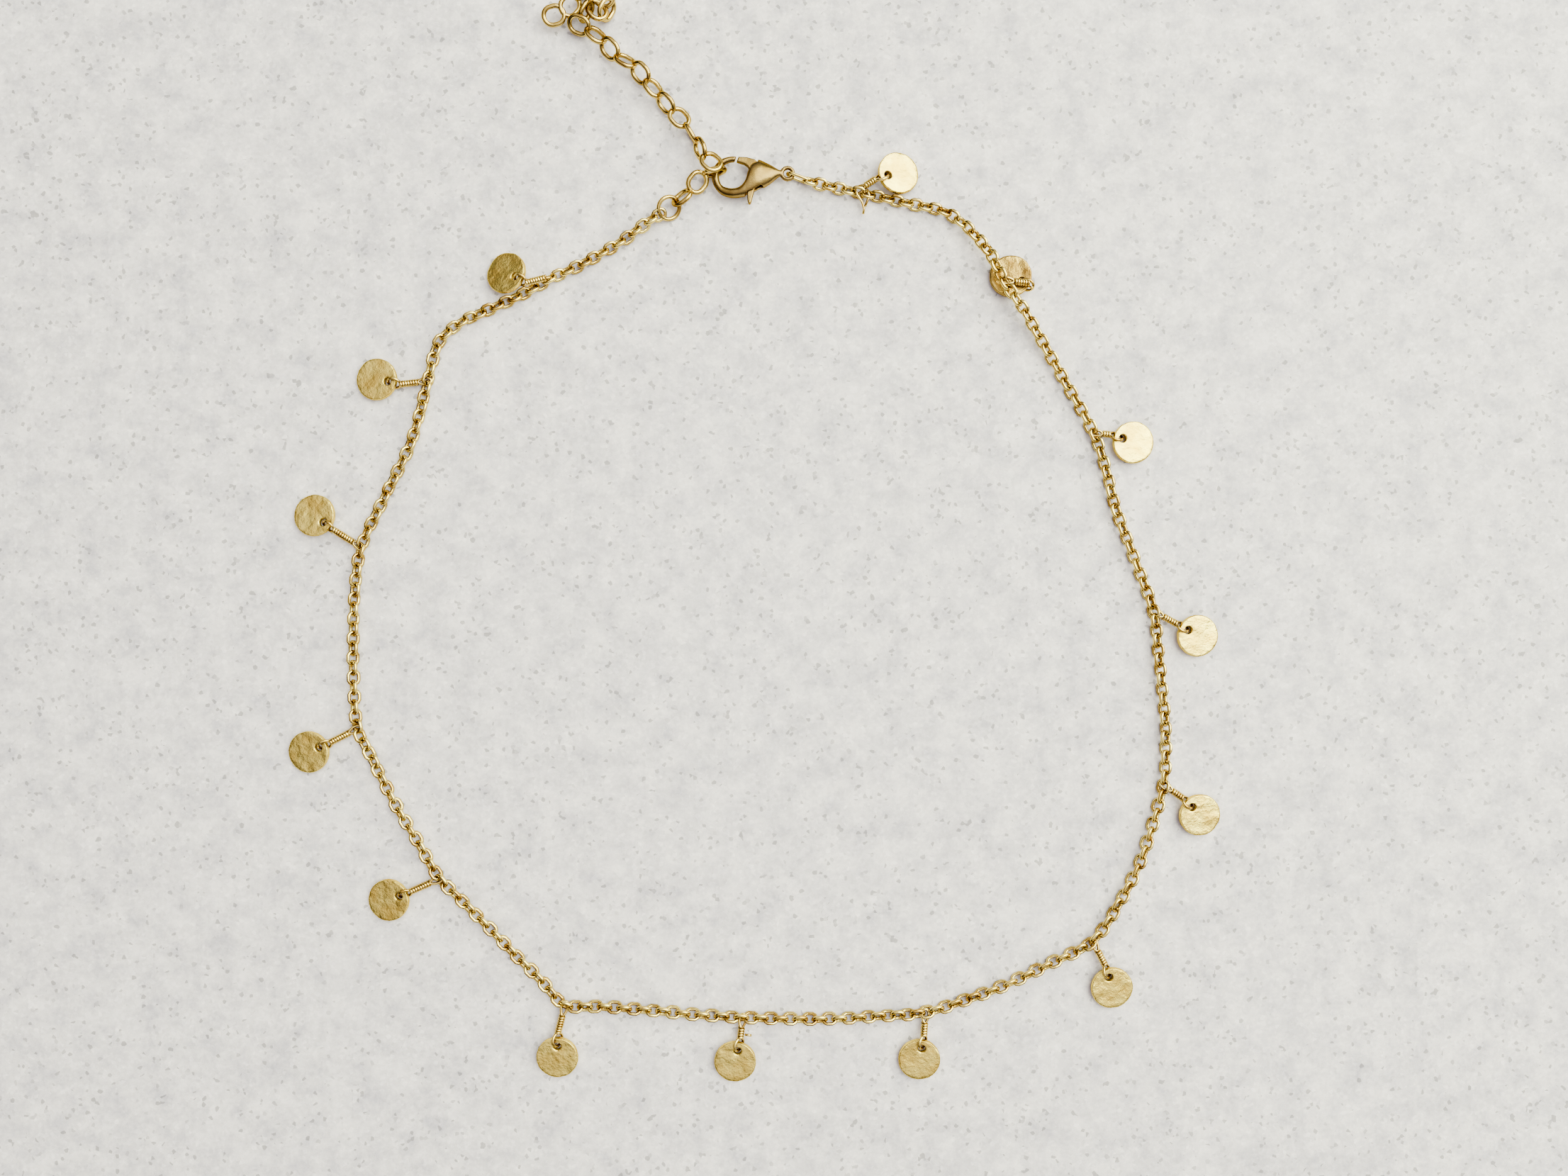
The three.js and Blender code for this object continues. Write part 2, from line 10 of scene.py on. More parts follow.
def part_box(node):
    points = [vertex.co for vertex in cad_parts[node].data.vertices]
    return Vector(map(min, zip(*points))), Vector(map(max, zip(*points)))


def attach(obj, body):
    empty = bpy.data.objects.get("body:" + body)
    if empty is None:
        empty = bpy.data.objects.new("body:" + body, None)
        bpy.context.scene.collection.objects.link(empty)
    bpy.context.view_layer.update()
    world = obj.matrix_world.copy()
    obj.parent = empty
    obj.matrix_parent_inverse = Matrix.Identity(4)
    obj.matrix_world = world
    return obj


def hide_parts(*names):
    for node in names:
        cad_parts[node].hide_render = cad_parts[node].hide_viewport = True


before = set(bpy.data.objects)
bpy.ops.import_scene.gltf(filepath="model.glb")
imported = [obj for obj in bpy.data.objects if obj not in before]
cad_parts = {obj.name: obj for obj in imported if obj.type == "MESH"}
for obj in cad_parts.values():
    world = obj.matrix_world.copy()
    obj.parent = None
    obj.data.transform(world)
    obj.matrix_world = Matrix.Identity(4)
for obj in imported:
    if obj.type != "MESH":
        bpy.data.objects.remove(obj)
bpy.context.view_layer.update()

# Sizes are in millimetres and angles in degrees; a finished piece is brought to metres.
MM = 0.001

# Discs
DISC_RADIUS = 3.0
DISC_THICKNESS = 0.8
DISC_EDGE = 0.7
DISC_BEVEL = 0.2
DISC_SEGMENTS = 72
HOLE_RADIUS = 0.55
HOLE_OFFSET = DISC_RADIUS - DISC_EDGE - HOLE_RADIUS
HOLE_BEVEL = 0.08

# Wear of a disc: what its rim and its faces lose
RIM_WORN = 0.05
RIM_UNEVEN = 0.04
RIM_LEAST_WORN = 0.042
FACE_SUNK = 0.05

# Hammering of a disc: how close the marks lie and how much each kind does
RIM_WAVES = (2.2, 1.0)
RIM_NICKS = (8.5, 1.2)
BROAD_DENTS = (0.62, 0.055)
RIPPLES = (1.7, 0.03)
RIM_BLOWS = (3.4, 0.07)

# Wire-wrapped links; the wire and the long upper loop are drawn to their own sizes
WIRE = 0.35
WIRE_DRAWN = 0.4
WIRE_SIDES = 8
NECK_DIAMETER = 1.05
COIL_PITCH = WIRE
LOWER_LOOP_RADIUS = (DISC_EDGE + 2 * HOLE_RADIUS) / 2
LOWER_LOOP_ROLL = 54
UPPER_LOOP_WIDTH = 1.45
UPPER_LOOP_DRAWN = 1.1
UPPER_LOOP_LENGTH = 1.9
UPPER_LOOP_NARROW = 0.4
HOOKED_BEYOND = 0.45
PLAY = 0.2

# Fine chain: its links turn to one side and the other by turns, and rest on the table
TUBE_RADIUS = 0.75
FINE_LENGTH = 2.42
FINE_WIDTH = 2.05
FINE_WIRE = 0.52
FINE_PITCH = 1.38
FINE_ROLL = 45
FINE_DRIFT = 12
FINE_WOBBLE = 7
FINE_RISE = 0.68
FINE_LIFT = 0.05
END_INSIDE = 0.55

# Extender chain
EXTENDER_LENGTH = 3.7
EXTENDER_WIDTH = 3.2
EXTENDER_WIRE = 0.52
EXTENDER_DRAWN = 0.68
WORN = 0.13
LINK_BITE = 0.12
STRETCHED_BITE = 0.36

# Jump ring
RING_DIAMETER = 3.7
RING_WIRE = 0.6
RING_RISE = 1.27
RING_HEADING = 40
RING_ROLL = 38
RING_TO_CHAIN = 216

# Clasp and the link at its eyelet
CLASP_LENGTH = 11.8
CLASP_WIDTH = 5.8
CLASP_THICKNESS = 2.6
CLASP_LEVEL = 1.318
CLASP_PLACE = (0.0, 50.7)
EYELET_CENTRE = (0.398, 0.069)
CLASP_LINK_LENGTH = 3.75
CLASP_LINK_WIDTH = 2.2
CLASP_LINK_WIRE = 0.45
CLASP_LINK_HEADING = -20
CLASP_LINK_SLOPE = -4

# Casting of the clasp: how far its flats lie from the smooth form, and how alike both face
FLAT_DEPTH = 0.14
SAME_FACING = 0.6
SOFTENING_ROUNDS = 5

# The picture: its width at a level a little over the table, and the camera's place
LENS_ANGLE = 65
SEEN_WIDTH = 221.2
SEEN_LEVEL = 1.0
CAMERA_PLACE = (4.2, -7.25)

# Tabletop and lamp, in metres
FLOOR_HALF = 1.2
LAMP_AWAY = 0.8
LAMP_WIDTH = 0.88

# Directions from the table to the lamp and to the bright side of the room
LAMP_SIDE = Vector((0.75, 0.42, 1.0))
BRIGHT_SIDE = Vector((0.55, 0.25, 0.8))

# Route of the fine chain, from the front to the clasp and to the jump ring: x, y, lift
ROUTE_RIGHT = [
    (10.8, -68.1, 0), (17.6, -67.7, 0), (24.2, -67.2, 0), (29.6, -65.5, 0), (34.6, -63.7, 0),
    (41.8, -60.3, 0), (47.8, -57.1, 0), (51.8, -51.3, 0), (54.5, -46.0, 0), (56.4, -40.3, 0),
    (57.8, -35.0, 0), (58.1, -27.8, 0), (57.5, -20.5, 0), (57.0, -15.5, 0), (56.4, -10.5, 0),
    (54.0, -3.9, 0), (51.0, 4.2, 0), (49.6, 9.7, 0), (47.9, 14.7, 0), (43.5, 22.6, 0),
    (38.6, 30.6, 0.9), (36.6, 33.3, 1.7), (34.9, 35.8, 1.75), (33.6, 38.6, 1.6), (32.0, 41.2, 0.9),
    (27.6, 45.5, 0), (20.6, 47.3, 0), (14.3, 48.7, 0), (10.2, 49.5, 0.2),
]
ROUTE_LEFT = [
    (4.6, -68.1, 0), (-1.6, -67.9, 0), (-8.4, -67.5, 0), (-14.6, -66.9, 0), (-21.4, -66.4, 0),
    (-26.7, -66.1, 0), (-30.1, -62.7, 0), (-33.9, -58.9, 0), (-37.8, -54.9, 0), (-41.2, -51.5, 0),
    (-44.4, -48.3, 0), (-47.8, -42.6, 0), (-50.2, -38.7, 0), (-52.2, -34.9, 0), (-54.2, -30.9, 0),
    (-56.0, -27.1, 0), (-56.6, -20.3, 0), (-56.6, -12.8, 0), (-56.3, -6.3, 0), (-55.5, -1.5, 0),
    (-51.7, 6.6, 0), (-48.3, 13.8, 0), (-46.1, 22.0, 0), (-44.5, 27.5, 0), (-41.5, 30.2, 0),
    (-38.8, 31.5, 0), (-36.1, 32.7, 0), (-32.6, 34.3, 0), (-29.2, 36.2, 0), (-26.0, 37.7, 0),
    (-22.3, 39.6, 0), (-18.4, 41.9, 0.1), (-15.6, 43.9, 0.35),
]

# Drops: name, disc centre x, y, bearing of the hole, tilt, half of the chain, point of its
# route, least turns of the coil, how the upper loop lies
DROPS = [
    ("01", -34.9, 37.1, -28, 20, "left", 28, 7, "over"),
    ("02", -53.3, 22.2, -12, 8, "left", 22, 5, "flat"),
    ("03", -62.1, 3.0, -36, 8, "left", 19, 5, "flat"),
    ("04", -62.9, -30.4, 24, 8, "left", 15, 5, "flat"),
    ("05", -51.6, -51.3, 22, 8, "left", 10, 5, "flat"),
    ("06", -27.8, -73.5, 88, 8, "left", 5, 5, "flat"),
    ("07", -2.7, -74.1, 78, 8, "left", 1, 4, "flat"),
    ("08", 23.3, -73.8, 80, 8, "right", 2, 5, "flat"),
    ("09", 50.5, -63.7, 108, 8, "right", 6, 5, "flat"),
    ("10", 62.9, -39.3, 136, 8, "right", 10, 4, "flat"),
    ("11", 62.6, -14.0, 151, 8, "right", 14, 5, "flat"),
    ("12", 53.5, 13.3, 162, 8, "right", 18, 3, "flat"),
    ("13", 36.2, 36.8, -30, 8, "right", 22, 4, "back"),
    ("14", 20.3, 51.2, -162, 16, "right", 27, 4, "flat"),
]

# Discs drawn in a darker, browner copy of the disc gold
DARKER_DISCS = ["13"]

# Cut ends of the wrapping wire that stand off some of the drops
WIRE_ENDS = {
    "14": [
        [(14.2, 48.9, 1.5), (14.5, 48.1, 1.45), (15.2, 47.2, 1.1), (15.5, 46.3, 0.8),
         (15.4, 45.6, 0.6)],
        [(15.9, 48.9, 1.4), (16.2, 48.0, 1.4), (15.9, 47.2, 1.15), (15.65, 46.6, 0.9)],
    ],
    "13": [[(38.3, 35.4, 1.5), (38.9, 35.0, 1.7), (39.1, 34.9, 1.9)]],
    "07": [[(-1.3, -70.2, 1.2), (-0.8, -70.2, 1.3), (-0.4, -70.3, 1.2)]],
}

# Where the hook holds the extender chain: a link stands in it and another rides on that
HELD_PLACE = (-0.47, 0.1)
RIDER_ASIDE = Vector((-0.4, 0.95, 0))

# Links of the extender chain: heading, slope and roll
HELD_LINK = (12, 0, 90)
RIDER_LINK = (137, -6, 20)
LOOSE_LINK = (58, 0, 80)
LOOSE_REACH = 0.8
LINKS_TO_RING = [(230, -3, -30), (218, -4, 48)]
LINKS_TO_BUNCH = [
    (118, -22, -62), (121, 0, 86), (132, 0, 20), (134, 0, -58), (126, 0, 42), (133, 0, -44),
    (150, 0, 46), (134, 0, -44), (138, 0, 42), (160, 0, -42),
]
LINKS_TO_END = [
    (-50, 0, -20), (60, 0, 60), (150, 0, -20), (200, 0, 62), (228, 0, -28), (195, 0, -20),
]

# Sections of the clasp from its neck round to the hook's tip, as shares of its length, width
# and thickness: back edge, front edge, depth
CLASP_SECTIONS = [
    (0.330, 0.000, 0.330, 0.138, 0.27), (0.285, -0.030, 0.285, 0.170, 0.42),
    (0.200, -0.175, 0.212, 0.260, 0.64), (0.100, -0.300, 0.127, 0.345, 0.88),
    (0.005, -0.400, 0.052, 0.405, 1.00), (-0.070, -0.460, -0.028, 0.340, 0.98),
    (-0.110, -0.485, -0.068, 0.160, 0.88), (-0.160, -0.505, -0.100, -0.080, 0.78),
    (-0.210, -0.517, -0.170, -0.245, 0.66), (-0.275, -0.517, -0.255, -0.293, 0.58),
    (-0.350, -0.483, -0.322, -0.276, 0.50), (-0.420, -0.400, -0.376, -0.230, 0.47),
    (-0.483, -0.225, -0.406, -0.140, 0.46), (-0.508, -0.035, -0.419, -0.017, 0.46),
    (-0.504, 0.120, -0.414, 0.088, 0.46), (-0.462, 0.285, -0.383, 0.210, 0.46),
    (-0.390, 0.415, -0.338, 0.292, 0.45), (-0.300, 0.474, -0.280, 0.336, 0.42),
    (-0.212, 0.478, -0.238, 0.345, 0.38),
]

UP = Vector((0, 0, 1))

# The frame's place of the seventh disc tells where the table's zero lies
low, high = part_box("disc_07")
disc_seven = Vector((DROPS[6][1], DROPS[6][2], 0))
shift = Vector(((low[0] + high[0]) / 2, (low[1] + high[1]) / 2, 0)) - disc_seven * MM
TO_TABLE = Matrix.Translation(shift) @ Matrix.Scale(MM, 4)


def heading(angle, slope=0):
    """A direction from its bearing and its rise."""
    level = math.cos(math.radians(slope))
    turn = math.radians(angle)
    return Vector((level * math.cos(turn), level * math.sin(turn), math.sin(math.radians(slope))))


def basis(x_axis, y_axis, z_axis, origin):
    """A frame from its three axes and its origin."""
    rows = zip(x_axis, y_axis, z_axis, origin)
    return Matrix([list(row) for row in rows] + [[0, 0, 0, 1]])


def along_frame(origin, direction, roll=0):
    """A frame whose X runs along a direction and whose Y is level, then rolled about X."""
    along = direction.normalized()
    side = UP.cross(along).normalized()
    side.rotate(Matrix.Rotation(math.radians(roll), 3, along))
    return basis(along, side, along.cross(side), origin)


def ring_edges(verts):
    """The edges that join verts of one ring, in the same order at each run."""
    inside = set(verts)
    edges = dict.fromkeys(edge for vert in verts for edge in vert.link_edges)
    return [edge for edge in edges if set(edge.verts) <= inside]


def next_ring(bm, edges):
    """Extrudes a ring of edges; gives back the new ring's verts and edges."""
    made = bmesh.ops.extrude_edge_only(bm, edges=edges)
    verts = [item for item in made["geom"] if isinstance(item, bmesh.types.BMVert)]
    return verts, ring_edges(verts)


def sweep(bm, stations, radius, sides, closed=False):
    """A round wire whose section is carried from station to station."""
    made = bmesh.ops.create_circle(bm, cap_ends=False, radius=radius, segments=sides,
                                   matrix=stations[0])
    first = ring_edges(made["verts"])
    edges = first
    for before, after in zip(stations, stations[1:]):
        verts, edges = next_ring(bm, edges)
        bmesh.ops.transform(bm, matrix=after @ before.inverted(), verts=verts)
    if closed:
        bmesh.ops.bridge_loops(bm, edges=first + edges)
    else:
        for end in (first, edges):
            bmesh.ops.edgeloop_fill(bm, edges=end)


def stations_along(points, closed=False):
    """Frames on a path of points, each turned as little as possible from the last."""
    count = len(points)
    stations = []
    side = None
    for i, point in enumerate(points):
        before = points[(i - 1) % count] if closed or i else point
        after = points[(i + 1) % count] if closed or i < count - 1 else point
        along = (after - before).normalized()
        if side is None:
            side = along.orthogonal().normalized()
        side = (side - along * side.dot(along)).normalized()
        stations.append(basis(side, along.cross(side), along, point))
    return stations


def link_mesh(name, length, width, wire, segments, sides):
    """A round or oval link in its own XY plane, long along X; sizes to the outside."""
    bm = bmesh.new()
    mean = (width - wire) / 2
    half_step = math.pi / segments
    section = (Matrix.Rotation(half_step, 4, "Z") @ Matrix.Translation((mean, 0, 0))
               @ Matrix.Rotation(math.pi / 2, 4, "X"))
    made = bmesh.ops.create_circle(bm, cap_ends=False, radius=wire / 2, segments=sides,
                                   matrix=section)
    bmesh.ops.spin(bm, geom=made["verts"] + ring_edges(made["verts"]), cent=(0, 0, 0),
                   axis=(0, 0, 1), angle=2 * math.pi, steps=segments, use_merge=True)
    bmesh.ops.remove_doubles(bm, verts=bm.verts, dist=1e-5)
    stretch = (length - width) / 2
    for vert in bm.verts:
        vert.co.x += math.copysign(stretch, vert.co.x)
    bmesh.ops.recalc_face_normals(bm, faces=bm.faces)
    mesh = bpy.data.meshes.new(name)
    bm.to_mesh(mesh)
    bm.free()
    return mesh


def add_link(bm, mesh, place):
    """Adds a copy of a link's mesh at its place."""
    start = len(bm.verts)
    bm.from_mesh(mesh)
    bm.verts.ensure_lookup_table()
    bmesh.ops.transform(bm, matrix=place, verts=bm.verts[start:])


def finish_piece(name, bm, material, nodes, body="necklace"):
    """Brings a mesh in millimetres to its place on the frame and gives it its looks."""
    bmesh.ops.transform(bm, matrix=TO_TABLE, verts=bm.verts)
    mesh = bpy.data.meshes.new(name)
    bm.to_mesh(mesh)
    bm.free()
    return place_mesh(name, mesh, material, nodes, body)


def place_mesh(name, mesh, material, nodes, body="necklace"):
    """Makes a finished mesh a piece that rides on its body in place of the frame's nodes."""
    for polygon in mesh.polygons:
        polygon.use_smooth = True
    mesh.materials.clear()
    mesh.materials.append(material)
    piece = bpy.data.objects.new(name, mesh)
    bpy.context.scene.collection.objects.link(piece)
    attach(piece, body)
    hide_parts(*nodes)
    return piece


# Materials

# What the metal mirrors at its edges
EDGE_TINT = (0.64, 0.46, 0.18)

# Painted shade: the metal's colour is darkened to brown where it faces metal close by, in the
# recesses where shade falls; the reach is in metres
PAINTED_SHADE = (0.16, 0.07, 0.01)
RECESS_REACH = 0.0009


def blank_material(name):
    """A new material, with its node tree and its shader."""
    material = bpy.data.materials.new(name)
    material.use_nodes = True
    tree = material.node_tree
    return material, tree, tree.nodes["Principled BSDF"]


def noise_pattern(tree, scale, detail, roughness=0.5):
    """A noise in the piece's own coordinates."""
    where = tree.nodes.new("ShaderNodeTexCoord")
    pattern = tree.nodes.new("ShaderNodeTexNoise")
    pattern.inputs["Scale"].default_value = scale
    pattern.inputs["Detail"].default_value = detail
    pattern.inputs["Roughness"].default_value = roughness
    tree.links.new(where.outputs["Object"], pattern.inputs["Vector"])
    return pattern.outputs["Fac"]


def tone_ramp(tree, factor, stops):
    """A colour that follows a factor through stops of place and colour, in rising order."""
    ramp = tree.nodes.new("ShaderNodeValToRGB")
    elements = ramp.color_ramp.elements
    for element, (place, colour) in zip(elements, (stops[0], stops[-1])):
        element.position = place
        element.color = (*colour, 1)
    for place, colour in stops[1:-1]:
        elements.new(place).color = (*colour, 1)
    tree.links.new(factor, ramp.inputs["Fac"])
    return ramp.outputs["Color"]


def bumped(tree, height, strength, distance, under=None):
    """A bump from a pattern, laid over another bump where one is given."""
    bump = tree.nodes.new("ShaderNodeBump")
    bump.inputs["Strength"].default_value = strength
    bump.inputs["Distance"].default_value = distance
    tree.links.new(height, bump.inputs["Height"])
    if under is not None:
        tree.links.new(under, bump.inputs["Normal"])
    return bump.outputs["Normal"]


def with_painted_shade(tree, metal):
    """The metal's colour with painted shade: darkened to brown in the recesses between its wires.
    """
    recess = tree.nodes.new("ShaderNodeAmbientOcclusion")
    recess.samples = 8
    recess.inputs["Distance"].default_value = RECESS_REACH
    openness = tree.nodes.new("ShaderNodeMapRange")
    openness.inputs["From Min"].default_value = 0.22
    openness.inputs["From Max"].default_value = 0.95
    tree.links.new(recess.outputs["AO"], openness.inputs["Value"])
    mixed = tree.nodes.new("ShaderNodeMix")
    mixed.data_type = "RGBA"
    mixed.inputs["A"].default_value = (*PAINTED_SHADE, 1)
    tree.links.new(openness.outputs["Result"], mixed.inputs["Factor"])
    tree.links.new(metal, mixed.inputs["B"])
    return mixed.outputs["Result"]


def gold(name, light, dark, roughness, grain, dents, depth):
    """Plated metal: a tone that drifts between two golds, a satin grain and soft dents."""
    material, tree, shader = blank_material(name)
    shader.inputs["Metallic"].default_value = 1.0
    shader.inputs["Specular Tint"].default_value = (*EDGE_TINT, 1)

    drift = noise_pattern(tree, scale=dents * 0.6, detail=3.0)
    metal = tone_ramp(tree, drift, [(0.34, dark), (0.62, light)])
    # The base colour carries painted shade, browned in the recesses between the wires.
    tree.links.new(with_painted_shade(tree, metal), shader.inputs["Base Color"])

    satin = noise_pattern(tree, scale=grain, detail=4.0)
    sheen = tree.nodes.new("ShaderNodeMapRange")
    sheen.inputs["To Min"].default_value = roughness * 0.75
    sheen.inputs["To Max"].default_value = roughness * 1.25
    tree.links.new(satin, sheen.inputs["Value"])
    tree.links.new(sheen.outputs["Result"], shader.inputs["Roughness"])

    hammered = noise_pattern(tree, scale=dents, detail=5.0, roughness=0.68)
    dented = bumped(tree, hammered, strength=1.0, distance=depth)
    grained = bumped(tree, satin, strength=0.5, distance=depth * 0.12, under=dented)
    tree.links.new(grained, shader.inputs["Normal"])
    return material


def marble():
    """Pale stone: a soft mottle with a few dark grains and a few bright grains that are painted
    glints.
    """
    material, tree, shader = blank_material("pale_tabletop")
    shader.inputs["Roughness"].default_value = 0.6
    cloudy = noise_pattern(tree, scale=230, detail=9.0, roughness=0.74)
    mottle = tone_ramp(tree, cloudy, [(0.34, (0.55, 0.525, 0.635)), (0.6, (0.97, 0.92, 1.0))])

    where = tree.nodes.new("ShaderNodeTexCoord")
    crystals = tree.nodes.new("ShaderNodeTexVoronoi")
    crystals.inputs["Scale"].default_value = 2100
    tree.links.new(where.outputs["Object"], crystals.inputs["Vector"])
    picked = tree.nodes.new("ShaderNodeSeparateColor")
    tree.links.new(crystals.outputs["Color"], picked.inputs["Color"])
    # Dark specks are the stone's own grains; the brightest cells are lifted to white as painted
    # glints.
    grains_and_glints = tone_ramp(tree, picked.outputs["Red"], [
        (0.02, (0.45, 0.45, 0.45)), (0.05, (0.79, 0.79, 0.79)),
        (0.95, (0.93, 0.93, 0.93)), (0.98, (1.0, 1.0, 1.0))])

    stone = tree.nodes.new("ShaderNodeMix")
    stone.data_type = "RGBA"
    stone.blend_type = "MULTIPLY"
    stone.inputs["Factor"].default_value = 1.0
    tree.links.new(mottle, stone.inputs["A"])
    tree.links.new(grains_and_glints, stone.inputs["B"])
    tree.links.new(stone.outputs["Result"], shader.inputs["Base Color"])
    return material


# Golds: name, light tone, dark tone; the depth of the dents is in metres
disc_gold = gold("satin_disc_gold", (0.96, 0.78, 0.17), (0.74, 0.53, 0.09), roughness=0.24,
                 grain=5200, dents=800, depth=0.00016)
darker_disc_gold = gold("darker_disc_gold", (0.68, 0.48, 0.11), (0.18, 0.10, 0.02),
                         roughness=0.25, grain=5200, dents=420, depth=0.0002)
chain_gold = gold("bright_chain_gold", (1.0, 0.82, 0.22), (0.52, 0.32, 0.05), roughness=0.1,
                  grain=6000, dents=900, depth=0.00002)
wire_gold = gold("wrapped_wire_gold", (0.95, 0.75, 0.21), (0.50, 0.31, 0.05), roughness=0.12,
                 grain=6000, dents=1100, depth=0.00002)
extender_gold = gold("extender_gold", (0.72, 0.53, 0.13), (0.26, 0.155, 0.03), roughness=0.11,
                     grain=5200, dents=600, depth=0.00003)
cast_gold = gold("satin_cast_gold", (0.28, 0.19, 0.06), (0.16, 0.10, 0.025), roughness=0.26,
                 grain=6500, dents=700, depth=0.00004)


# Places of the extender chain, the jump ring and the clasp link


def on_clasp(share, level=CLASP_LEVEL):
    """A place given in shares of the clasp's length and width from its middle."""
    return Vector((CLASP_PLACE[0] + share[0] * CLASP_LENGTH,
                   CLASP_PLACE[1] + share[1] * CLASP_WIDTH, level))


def link_pose(centre, lies):
    """Centre, direction and roll of a link."""
    angle, slope, roll = lies
    return centre, heading(angle, slope), roll


def pulled_tight(first, rows, bite=LINK_BITE):
    """Poses of links that hang in one another, each a bite inside the link before it."""
    half = (EXTENDER_LENGTH - EXTENDER_WIRE) / 2
    poses = []
    centre, along, _ = first
    for angle, slope, roll in rows:
        ahead = heading(angle, slope)
        end = centre + along * half
        middle = (along + ahead).normalized()
        centre = end + middle * (bite - EXTENDER_WIRE) + ahead * half
        along = ahead
        poses.append((centre, along, roll))
    return poses


held = link_pose(on_clasp(HELD_PLACE, EXTENDER_WIDTH / 2), HELD_LINK)
to_ring = pulled_tight((held[0], -held[1], 0), LINKS_TO_RING, STRETCHED_BITE)
rider_level = EXTENDER_WIDTH - EXTENDER_WIRE / 2 - LINK_BITE
rider = link_pose(on_clasp(HELD_PLACE, rider_level) + RIDER_ASIDE, RIDER_LINK)
to_bunch = [rider] + pulled_tight(rider, LINKS_TO_BUNCH)

last_centre, last_along, last_roll = to_bunch[-1]
beside = -along_frame(last_centre, last_along, last_roll).col[1].to_3d()
loose_centre = (last_centre + beside * (EXTENDER_WIDTH - EXTENDER_WIRE) / 2
                + heading(LOOSE_LINK[0]) * LOOSE_REACH * (EXTENDER_LENGTH - EXTENDER_WIRE) / 2)
loose_centre.z = EXTENDER_WIDTH / 2
loose = link_pose(loose_centre, LOOSE_LINK)
to_end = pulled_tight(loose, LINKS_TO_END)
extender_poses = [held] + to_ring + to_bunch + [loose] + to_end

ring_centre = to_ring[-1][0] + to_ring[-1][1] * (
    (EXTENDER_LENGTH - EXTENDER_WIRE) / 2 + (RING_DIAMETER - RING_WIRE) / 2
    - (RING_WIRE + EXTENDER_WIRE) / 2 - PLAY)
ring_centre.z = RING_RISE
ring_near = ring_centre + heading(RING_TO_CHAIN) * (
    (RING_DIAMETER - RING_WIRE) / 2 - END_INSIDE)
clasp_link_along = heading(CLASP_LINK_HEADING, CLASP_LINK_SLOPE)
clasp_link_middle = on_clasp(EYELET_CENTRE) + clasp_link_along * (
    (CLASP_LINK_LENGTH - CLASP_LINK_WIRE) / 2)
clasp_link_end = on_clasp(EYELET_CENTRE) + clasp_link_along * (
    CLASP_LINK_LENGTH - CLASP_LINK_WIRE - END_INSIDE)


# Fine chain


def centripetal(points, per_span):
    """Points on the smooth curve through the route's points."""
    ends = [points[0] * 2 - points[1]] + points + [points[-1] * 2 - points[-2]]
    curve = []
    for a, b, c, d in zip(ends, ends[1:], ends[2:], ends[3:]):
        knots = [0.0]
        for p, q in ((a, b), (b, c), (c, d)):
            knots.append(knots[-1] + math.sqrt((q - p).length))
        for step in range(per_span):
            t = knots[1] + (knots[2] - knots[1]) * step / per_span
            one = a.lerp(b, (t - knots[0]) / (knots[1] - knots[0]))
            two = b.lerp(c, (t - knots[1]) / (knots[2] - knots[1]))
            three = c.lerp(d, (t - knots[2]) / (knots[3] - knots[2]))
            left = one.lerp(two, (t - knots[0]) / (knots[2] - knots[0]))
            right = two.lerp(three, (t - knots[1]) / (knots[3] - knots[1]))
            curve.append(left.lerp(right, (t - knots[1]) / (knots[2] - knots[1])))
    curve.append(points[-1])
    return curve


def evenly(curve, pitch):
    """Middle points and directions of links laid end to end along a curve."""
    reach = [0.0]
    for p, q in zip(curve, curve[1:]):
        reach.append(reach[-1] + (q - p).length)
    count = round(reach[-1] / pitch)
    places = []
    span = 0
    for i in range(count):
        want = (i + 0.5) * reach[-1] / count
        while reach[span + 1] < want:
            span += 1
        p, q = curve[span], curve[span + 1]
        share = (want - reach[span]) / (reach[span + 1] - reach[span])
        places.append((p.lerp(q, share), (q - p).normalized()))
    return places


def route_points(rows, rise):
    """The points of a half's route at their height above the table."""
    return [Vector((x, y, rise + lift)) for x, y, lift in rows]


def lay_fine_chain():
    """Links end to end along the whole route, turned by turns to one side and the other."""
    route = ([clasp_link_end] + route_points(ROUTE_RIGHT, FINE_RISE)[::-1]
             + route_points(ROUTE_LEFT, FINE_RISE) + [ring_near])
    link = link_mesh("fine_link", FINE_LENGTH, FINE_WIDTH, FINE_WIRE, segments=12, sides=5)
    wobble = random.Random(7)
    halves = {"chain_right": bmesh.new(), "chain_left": bmesh.new()}
    meeting = Vector((ROUTE_RIGHT[0][0], ROUTE_RIGHT[0][1], 0))
    met = False
    places = evenly(centripetal(route, per_span=12), FINE_PITCH)
    for number, (centre, along) in enumerate(places):
        met = met or (centre - meeting).length < FINE_PITCH
        turn = FINE_ROLL if number % 2 else -FINE_ROLL
        turn += FINE_DRIFT * noise.noise(Vector((number * 0.11, 3.1, 0.7)))
        turn += wobble.uniform(-FINE_WOBBLE, FINE_WOBBLE)
        upright = abs(math.sin(math.radians(turn))) * (FINE_WIDTH - FINE_WIRE) / 2
        sloping = abs(along.z) * FINE_LENGTH / 3
        centre.z += upright + sloping + FINE_WIRE / 2 - FINE_RISE + FINE_LIFT
        side = "chain_left" if met else "chain_right"
        add_link(halves[side], link, along_frame(centre, along, turn))
    for name, bm in halves.items():
        finish_piece(f"{name}_links", bm, chain_gold, [name])


lay_fine_chain()


# Discs


